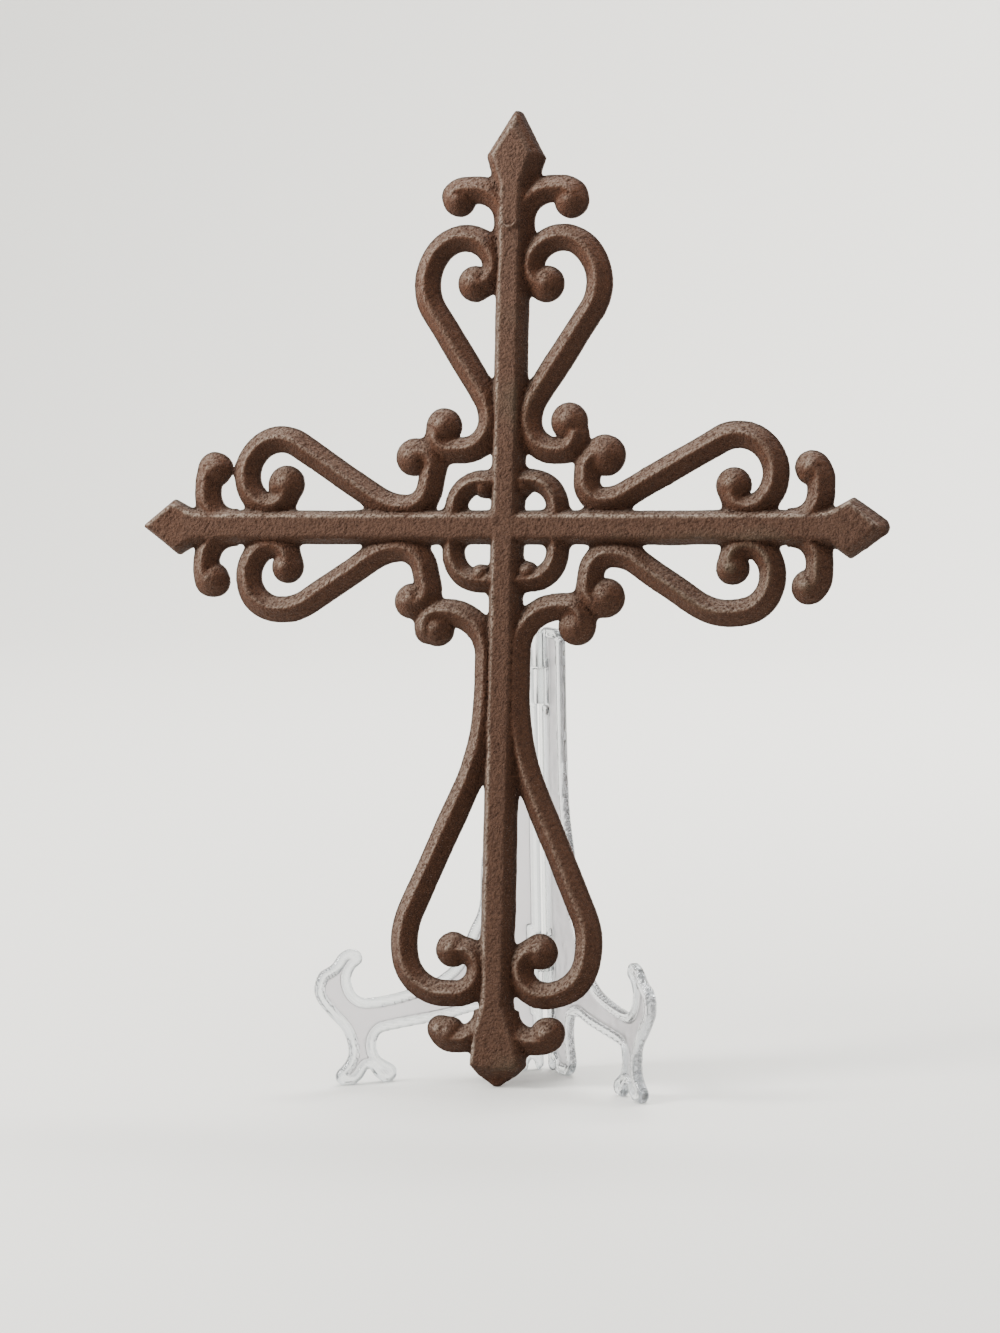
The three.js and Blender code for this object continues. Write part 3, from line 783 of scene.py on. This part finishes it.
def rusted_iron():
    """Brown-rusted iron: flanks dark in painted shade, grey-brown faces, ridges rubbed and lit by painted
    highlight, orange in corners.
    """
    m = Nodes("rusted_iron")
    place = m.add("ShaderNodeTexCoord").outputs["Object"]
    convex = m.attribute("convex")
    level = m.attribute("level")
    grit = m.attribute("grit")
    inset = m.attribute("inset")
    painted_light_side = m.attribute("painted_light_side")
    height_up = m.add("ShaderNodeSeparateXYZ", {"Vector": place}).outputs["Z"]
    cloud = m.noise(26, 4, place)
    pimple = m.noise(1250, 1, place, 0.5)
    fine = m.noise(2600, 1, place)
    colour = m.mix(m.between(cloud, 0.3, 0.7), linear("4f3222"), linear("5c3b2a"))
    colour = m.mix(m.times(m.between(level, 5.4, 6.6), 0.85), colour, linear("5a4337"))
    low = m.times(m.between(level, 3.6, 1.8), m.between(m.noise(55, 3, place), 0.42, 0.62))
    low = m.times(low, m.between(inset, 0.8, 2.4))
    colour = m.mix(m.times(low, 0.75), colour, linear("764224"))
    # painted shade: darker in the hollows
    colour = m.mix(m.times(m.between(convex, -0.15, -1.2), 0.55), colour, linear("3a2014"))
    # painted shade: darker on surfaces turned away from the upper-left light
    colour = m.mix(m.times(m.between(painted_light_side, -0.05, -0.7), 0.8), colour, linear("321c0e"))
    # painted shade: darker towards the bottom of the cross, where less light falls
    colour = m.mix(m.times(m.between(height_up, 0.32, 0.14), 0.6), colour, linear("3c2415"))
    # rubbed ridges lightened, more where they face the upper-left light and not where turned from it: wear
    # and painted highlight
    wear_and_highlight = m.plus(m.between(convex, 0.3, 1.2), m.times(m.between(painted_light_side, 0.15, 0.7), 0.4))
    wear_and_highlight = m.times(wear_and_highlight, m.between(painted_light_side, -0.2, 0.3))
    wear_and_highlight = m.times(wear_and_highlight, m.between(m.plus(pimple, m.times(grit, 0.06)), 0.25, 0.6))
    colour = m.mix(m.times(wear_and_highlight, 0.62), colour, linear("b1a091"))
    colour = m.mix(m.times(m.between(grit, 0.2, -1.8), 0.45), colour, linear("2e1b12"))
    colour = m.mix(m.times(m.between(pimple, 0.5, 0.32), 0.35), colour, linear("2e1b12"))
    bloom = m.times(m.between(m.noise(15, 3, place), 0.55, 0.68), m.between(level, 4.6, 6.2))
    colour = m.mix(m.times(bloom, 0.4), colour, linear("4f4a3c"))
    # painted shade: darker on the walls along the outline
    colour = m.mix(m.times(m.between(inset, 0.9, 0.1), 0.6), colour, linear("24150e"))
    m.link(colour, "Base Color")
    rough = m.add("ShaderNodeMapRange", {"Value": wear_and_highlight, "To Min": 0.8, "To Max": 0.55}).outputs["Result"]
    m.link(rough, "Roughness")
    m.shader.inputs["Specular IOR Level"].default_value = 0.22
    relief = m.plus(m.times(pimple, 0.8), m.times(fine, 0.2))
    bump = m.add("ShaderNodeBump", {"Height": relief, "Strength": 1.0, "Distance": 0.0018})
    m.link(bump.outputs["Normal"], "Normal")
    return m.material


def clear_plastic(name, frosted):
    """Clear moulded plastic: glossy rims with painted dark lines on their steep walls, and a web with a
    slight haze.
    """
    m = Nodes(name)
    place = m.add("ShaderNodeTexCoord").outputs["Object"]
    ripple = m.noise(90, 2, place)
    if frosted:
        haze = m.attribute("frosted")
        # painted dark lines on the bead's steep walls, standing in for the shade they refract
        rim_tint_and_painted_lines = m.mix(m.times(m.attribute("painted_line_slope"), 0.8), linear("f6f8f9"), linear("8f979f"))
        m.link(m.mix(haze, rim_tint_and_painted_lines, linear("cfccd0")), "Base Color")
        rough = m.add("ShaderNodeMapRange", {"Value": haze, "To Min": 0.06, "To Max": 0.3})
        m.link(rough.outputs["Result"], "Roughness")
    else:
        m.shader.inputs["Base Color"].default_value = linear("eef1f1")
        m.shader.inputs["Roughness"].default_value = 0.1
    m.shader.inputs["IOR"].default_value = 1.49
    m.shader.inputs["Transmission Weight"].default_value = 0.96
    bump = m.add("ShaderNodeBump", {"Height": ripple, "Strength": 0.12, "Distance": 0.0005})
    m.link(bump.outputs["Normal"], "Normal")
    return m.material


def dress():
    """Makes every piece, gives it its material and lets it ride and stand for its CAD node."""
    plastic = clear_plastic("clear_plastic", True)
    feet = (LOWER_KNUCKLE, UPPER_KNUCKLE)
    right_feet = tuple(foot + KNUCKLE_PITCH for foot in feet)
    pieces = [
        (make_cross(), "cross", "rusted_iron", rusted_iron()),
        (make_easel_side("easel_left_panel", -90 - HALF_OPENING - EASEL_TURN, feet, right_feet),
         "easel_left_side", "clear_plastic", plastic),
        (make_easel_side("easel_right_panel", -90 + HALF_OPENING - EASEL_TURN, right_feet, feet),
         "easel_right_side", "clear_plastic", plastic),
        (make_pin(), "easel_hinge_pin", "clear_plastic", clear_plastic("clear_rod", False)),
    ]
    for piece, node, slot, material in pieces:
        piece.data.materials.append(material)
        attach(piece, "root")
        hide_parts(node)


def make_floor():
    """Pale floor that runs up behind in one sweep, as in a small studio."""
    half, near, bend, height = 3.0, -2.5, 1.6, 2.6
    run = np.linspace(0, math.pi / 2, 24)
    radius = 1.0
    profile = np.vstack([
        [(near, 0)],
        np.stack([bend + radius * np.sin(run), radius - radius * np.cos(run)], 1),
        [(bend + radius, height)],
    ])
    points = [(x, y, z) for y, z in profile for x in (-half, half)]
    faces = [(2 * i, 2 * i + 1, 2 * i + 3, 2 * i + 2) for i in range(len(profile) - 1)]
    mesh = bpy.data.meshes.new("floor")
    mesh.from_pydata(points, [], faces)
    mesh.shade_smooth()
    floor = bpy.data.objects.new("floor", mesh)
    bpy.context.scene.collection.objects.link(floor)
    m = Nodes("pale_floor")
    m.shader.inputs["Base Color"].default_value = linear("e9e7e2")
    m.shader.inputs["Roughness"].default_value = 0.6
    mesh.materials.append(m.material)


def add_light(name, place, target, size, power, colour):
    """Square area light aimed at a point."""
    lamp = bpy.data.lights.new(name, "AREA")
    lamp.size = size
    lamp.energy = power
    lamp.color = colour
    light = bpy.data.objects.new(name, lamp)
    direction = np.array(target) - np.array(place)
    light.matrix_world = aimed(place, direction, 0)
    bpy.context.scene.collection.objects.link(light)


def aimed(place, direction, roll):
    """Matrix of an object at place whose -Z looks along direction, rolled about that line."""
    forward = np.array(direction, float) / np.linalg.norm(direction)
    right = np.cross(forward, (0, 0, 1))
    right = right / np.linalg.norm(right)
    up = np.cross(right, forward)
    c, s = math.cos(roll), math.sin(roll)
    axis_x = c * right + s * up
    axis_y = c * up - s * right
    matrix = np.eye(4)
    matrix[:3, 0] = axis_x
    matrix[:3, 1] = axis_y
    matrix[:3, 2] = -forward
    matrix[:3, 3] = place
    return Matrix(matrix.tolist())


def make_camera():
    """The photograph's camera: yaw to the left, pitch down and roll, with its focal length."""
    yaw, pitch = math.radians(CAMERA_YAW), math.radians(CAMERA_PITCH)
    forward = (-math.sin(yaw) * math.cos(pitch), math.cos(yaw) * math.cos(pitch), math.sin(pitch))
    place = (CAMERA_PLACE[0] * MM, (CAMERA_PLACE[1] + TIP_Y) * MM, CAMERA_PLACE[2] * MM)
    data = bpy.data.cameras.new("camera")
    data.sensor_width = SENSOR
    data.lens = FOCAL_PIXELS * SENSOR / PHOTO_HEIGHT
    data.clip_start = 0.05
    camera = bpy.data.objects.new("camera", data)
    camera.matrix_world = aimed(place, forward, math.radians(CAMERA_ROLL))
    bpy.context.scene.collection.objects.link(camera)
    bpy.context.scene.camera = camera


def light_studio():
    """Soft daylight from the upper left and a bright pale surround."""
    add_light("window", (-0.8, -0.46, 0.72), (0, 0, 0.2), 0.4, WINDOW_POWER, (1.0, 0.98, 0.95))
    add_light("behind", (0.2, 1.1, 1.5), (0, 1.9, 0.2), 1.0, BACK_POWER, (1.0, 0.99, 0.97))
    world = bpy.data.worlds.new("surround")
    world.use_nodes = True
    nodes, links = world.node_tree.nodes, world.node_tree.links
    direction = nodes.new("ShaderNodeSeparateXYZ")
    links.new(nodes.new("ShaderNodeTexCoord").outputs["Generated"], direction.inputs["Vector"])
    upward = nodes.new("ShaderNodeMapRange")
    links.new(direction.outputs["Z"], upward.inputs["Value"])
    upward.inputs["From Min"].default_value = 0.0
    upward.inputs["From Max"].default_value = 0.7
    upward.inputs["To Min"].default_value = HORIZON_STRENGTH
    upward.inputs["To Max"].default_value = UPPER_STRENGTH
    background = nodes["Background"]
    background.inputs["Color"].default_value = (0.93, 0.94, 0.92, 1)
    links.new(upward.outputs["Result"], background.inputs["Strength"])
    bpy.context.scene.world = world


make_camera()
dress()
make_floor()
light_studio()
